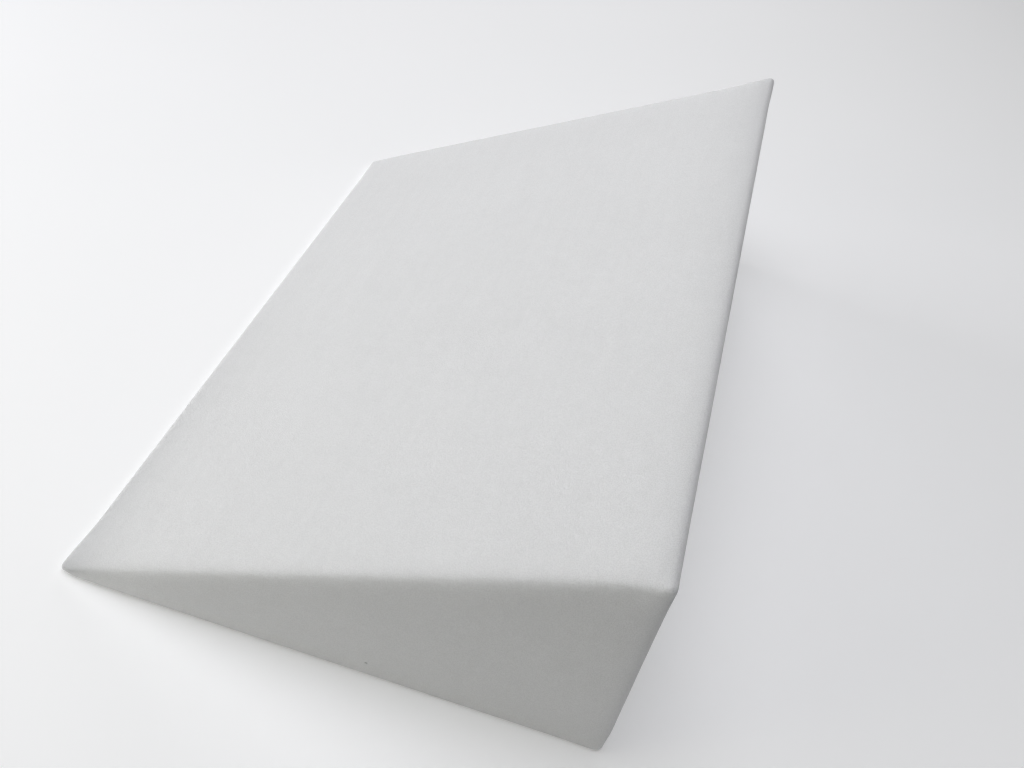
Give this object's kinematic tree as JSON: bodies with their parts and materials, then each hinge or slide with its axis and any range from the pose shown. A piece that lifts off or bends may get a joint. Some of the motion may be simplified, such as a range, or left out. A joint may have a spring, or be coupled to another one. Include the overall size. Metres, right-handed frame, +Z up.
{
  "type": "foam wedge pillow",
  "caption": "Long right-angled wedge pillow of plain white foam with softly rounded edges, for propping up the back or legs in bed.",
  "frame": {"origin": "middle of the base, on the surface that the wedge rests on", "axes": "+X from the thin front edge to the upright back face, +Y along the width, +Z up"},
  "size_m": [0.6, 0.9, 0.3],
  "materials": {
    "foam": "matt open-cell foam, fine cells, cut faces"
  },
  "bodies": {
    "root": {"foam_wedge": "foam"}
  },
  "joints": []
}
